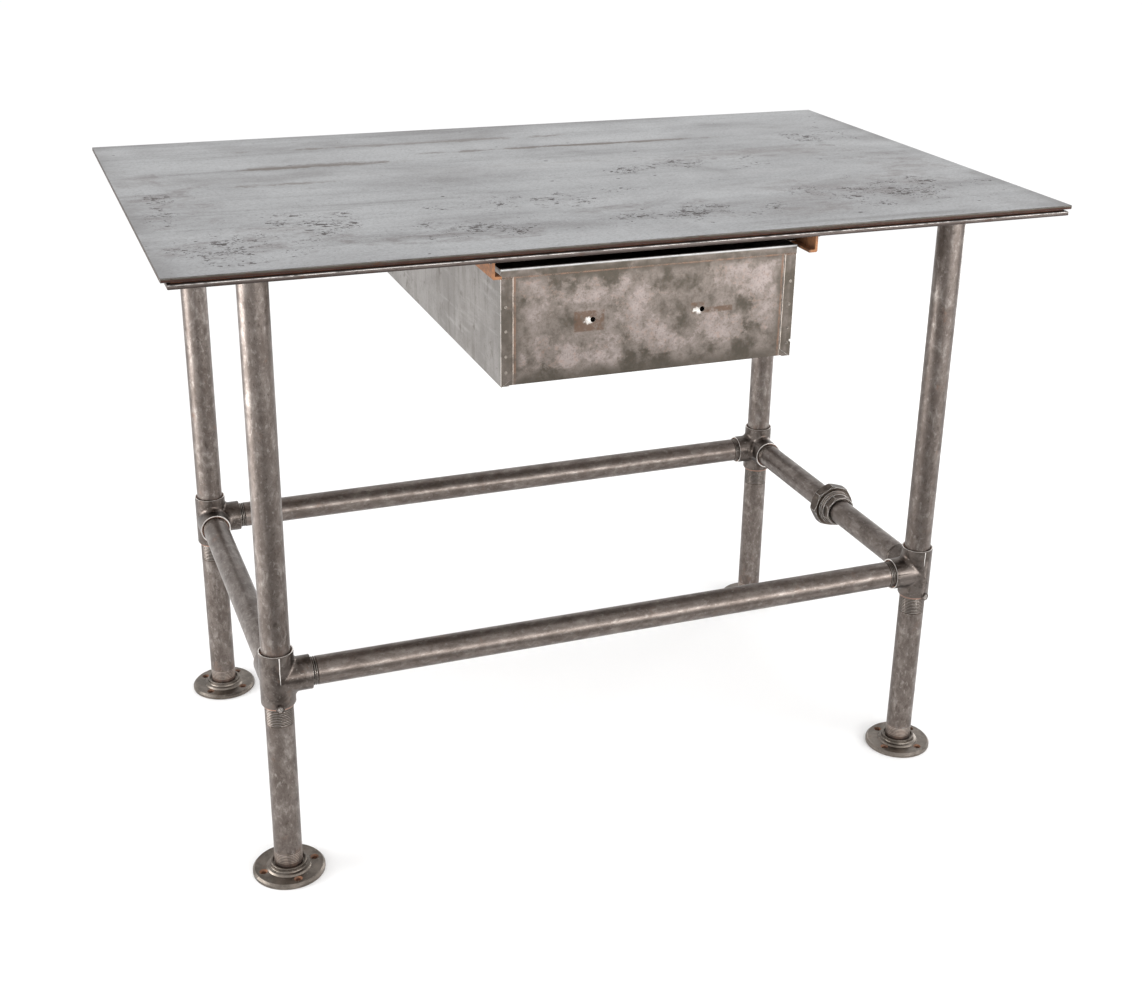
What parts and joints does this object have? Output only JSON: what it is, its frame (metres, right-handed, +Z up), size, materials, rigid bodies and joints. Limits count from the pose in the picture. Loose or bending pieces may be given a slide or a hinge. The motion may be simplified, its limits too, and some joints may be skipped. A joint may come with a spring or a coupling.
{
  "type": "desk",
  "caption": "Steel-plate desk on a screwed-pipe frame with floor flanges and side-outlet tees, and a shallow sheet-steel drawer on runners under the top.",
  "frame": {"origin": "on the floor, below the middle of the top", "axes": "+X along the long side, to the right as seen from the drawer side; +Y toward the back; +Z up"},
  "size_m": [1.047, 0.65, 0.765],
  "materials": {
    "top_steel": "worn satin steel plate",
    "under_steel": "mill-finish steel plate, browned",
    "shim_steel": "rusty steel strip",
    "drawer_front_steel": "mottled bare sheet steel",
    "drawer_sheet_steel": "bare sheet steel",
    "runner_steel": "rusty bent strip",
    "weld_metal": "weld bead",
    "pipe_steel": "bare steel pipe, browned",
    "tee_iron": "worn cast fitting",
    "flange_iron": "worn cast flange",
    "union_iron": "dark cast union",
    "screw_steel": "steel socket screw"
  },
  "bodies": {
    "table": {"drawer_stop": "runner_steel", "floor_flange_front_left": "flange_iron", "floor_flange_front_right": "flange_iron", "floor_flange_rear_left": "flange_iron", "floor_flange_rear_right": "flange_iron", "leg_lower_front_left": "pipe_steel", "leg_lower_front_right": "pipe_steel", "leg_lower_rear_left": "pipe_steel", "leg_lower_rear_right": "pipe_steel", "leg_upper_front_left": "pipe_steel", "leg_upper_front_right": "pipe_steel", "leg_upper_rear_left": "pipe_steel", "leg_upper_rear_right": "pipe_steel", "leg_weld_front_left": "weld_metal", "leg_weld_front_right": "weld_metal", "leg_weld_rear_left": "weld_metal", "leg_weld_rear_right": "weld_metal", "rail_front": "pipe_steel", "rail_left": "pipe_steel", "rail_rear": "pipe_steel", "rail_right_front": "pipe_steel", "rail_right_rear": "pipe_steel", "runner_left": "runner_steel", "runner_right": "runner_steel", "set_screw_front_left": "screw_steel", "set_screw_front_right": "screw_steel", "set_screw_rear_left": "screw_steel", "set_screw_rear_right": "screw_steel", "shim_front_left": "shim_steel", "shim_front_right": "shim_steel", "shim_left": "shim_steel", "shim_middle": "shim_steel", "shim_rear_left": "shim_steel", "shim_rear_right": "shim_steel", "shim_right": "shim_steel", "tee_front_left": "tee_iron", "tee_front_right": "tee_iron", "tee_rear_left": "tee_iron", "tee_rear_right": "tee_iron", "top_plate": "top_steel", "under_plate": "under_steel", "union_body": "union_iron", "union_nut": "union_iron", "union_tail": "union_iron"},
    "drawer": {"drawer_back": "drawer_sheet_steel", "drawer_bottom": "drawer_sheet_steel", "drawer_front": "drawer_front_steel", "drawer_side_left": "drawer_sheet_steel", "drawer_side_right": "drawer_sheet_steel"}
  },
  "joints": [
    {"name": "drawer_slide", "type": "slide", "parent": "table", "child": "drawer", "axis": [0, -1, 0], "range_m": [0, 0.35]}
  ]
}
